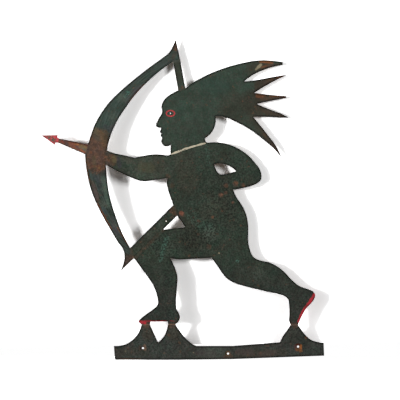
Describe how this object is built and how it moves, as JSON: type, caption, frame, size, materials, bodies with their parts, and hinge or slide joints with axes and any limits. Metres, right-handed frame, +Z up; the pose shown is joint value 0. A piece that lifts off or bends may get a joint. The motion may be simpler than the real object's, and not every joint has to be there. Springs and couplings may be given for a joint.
{
  "type": "sheet iron silhouette figure",
  "caption": "Flat painted sheet iron archer drawing a bow, on a base rail drilled for mounting, brazed together from flat pieces.",
  "frame": {"origin": "axis of the middle mounting hole, on the rail's flat back face", "axes": "+Z up along the figure, +X to the viewer's right, -Y out of the painted front"},
  "size_m": [0.5653, 0.0035, 0.6403],
  "materials": {
    "green_paint": "old matt dark green paint over iron, mottled, with rust spots",
    "rusty_iron": "brown rusted sheet iron with worn paint",
    "red_paint": "worn matt red paint over iron",
    "brazing_metal": "dull brazing brass, darkened and painted over",
    "cream_paint": "cream enamel line, brushed on over the green"
  },
  "bodies": {
    "root": {"archer": "green_paint", "bow": "green_paint", "upper_bowstring": "green_paint", "lower_bowstring": "green_paint", "arrow_shaft": "rusty_iron", "arrow_head": "red_paint", "base_rail": "green_paint", "front_toe_seam": "brazing_metal", "front_heel_seam": "brazing_metal", "rear_toe_seam": "brazing_metal", "hand_seam": "brazing_metal", "arrow_seam": "brazing_metal", "arrow_head_seam": "brazing_metal", "upper_nock_seam": "brazing_metal", "lower_nock_seam": "brazing_metal", "head_seam": "brazing_metal", "waist_seam": "brazing_metal", "knee_seam": "brazing_metal"}
  },
  "joints": []
}
